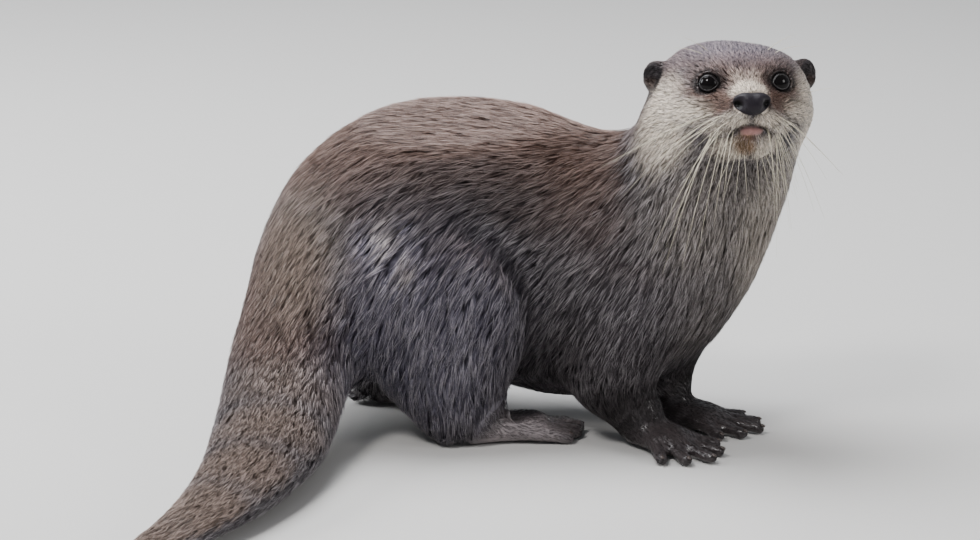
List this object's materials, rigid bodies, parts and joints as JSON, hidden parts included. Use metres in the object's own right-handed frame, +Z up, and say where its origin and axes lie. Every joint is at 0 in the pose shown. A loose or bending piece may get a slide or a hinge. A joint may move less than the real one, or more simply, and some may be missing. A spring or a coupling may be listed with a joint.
{
  "type": "asian small-clawed otter figure",
  "caption": "Life-size still otter crouching on all four feet, head raised and turned to its right, thick tapered tail curled on the floor.",
  "frame": {"origin": "middle of the bounding box at floor level, under the soles of the feet", "axes": "+X from rump to chest, +Y to the animal's left, +Z up; the head looks along -Y"},
  "size_m": [0.3372, 0.3206, 0.2014],
  "materials": {
    "coat": "short dense brown fur, paler on cheeks and throat",
    "skin": "nearly bare dark skin with a damp sheen",
    "nose": "damp pebbled black skin",
    "eye": "wet, near-black"
  },
  "bodies": {
    "root": {"forepaw_right": "skin", "forepaw_left": "skin", "hindfoot_right": "skin", "hindfoot_left": "skin", "hindleg_right": "coat", "hindleg_left": "coat", "foreleg_right": "coat", "foreleg_left": "coat", "tail_base": "coat", "tail_middle": "coat", "tail_tip": "coat", "neck": "coat", "rump": "coat", "chest": "coat", "nose": "nose", "eye_right": "eye", "ear_right": "coat", "eye_left": "eye", "ear_left": "coat", "lower_jaw": "coat", "head": "coat"}
  },
  "joints": []
}
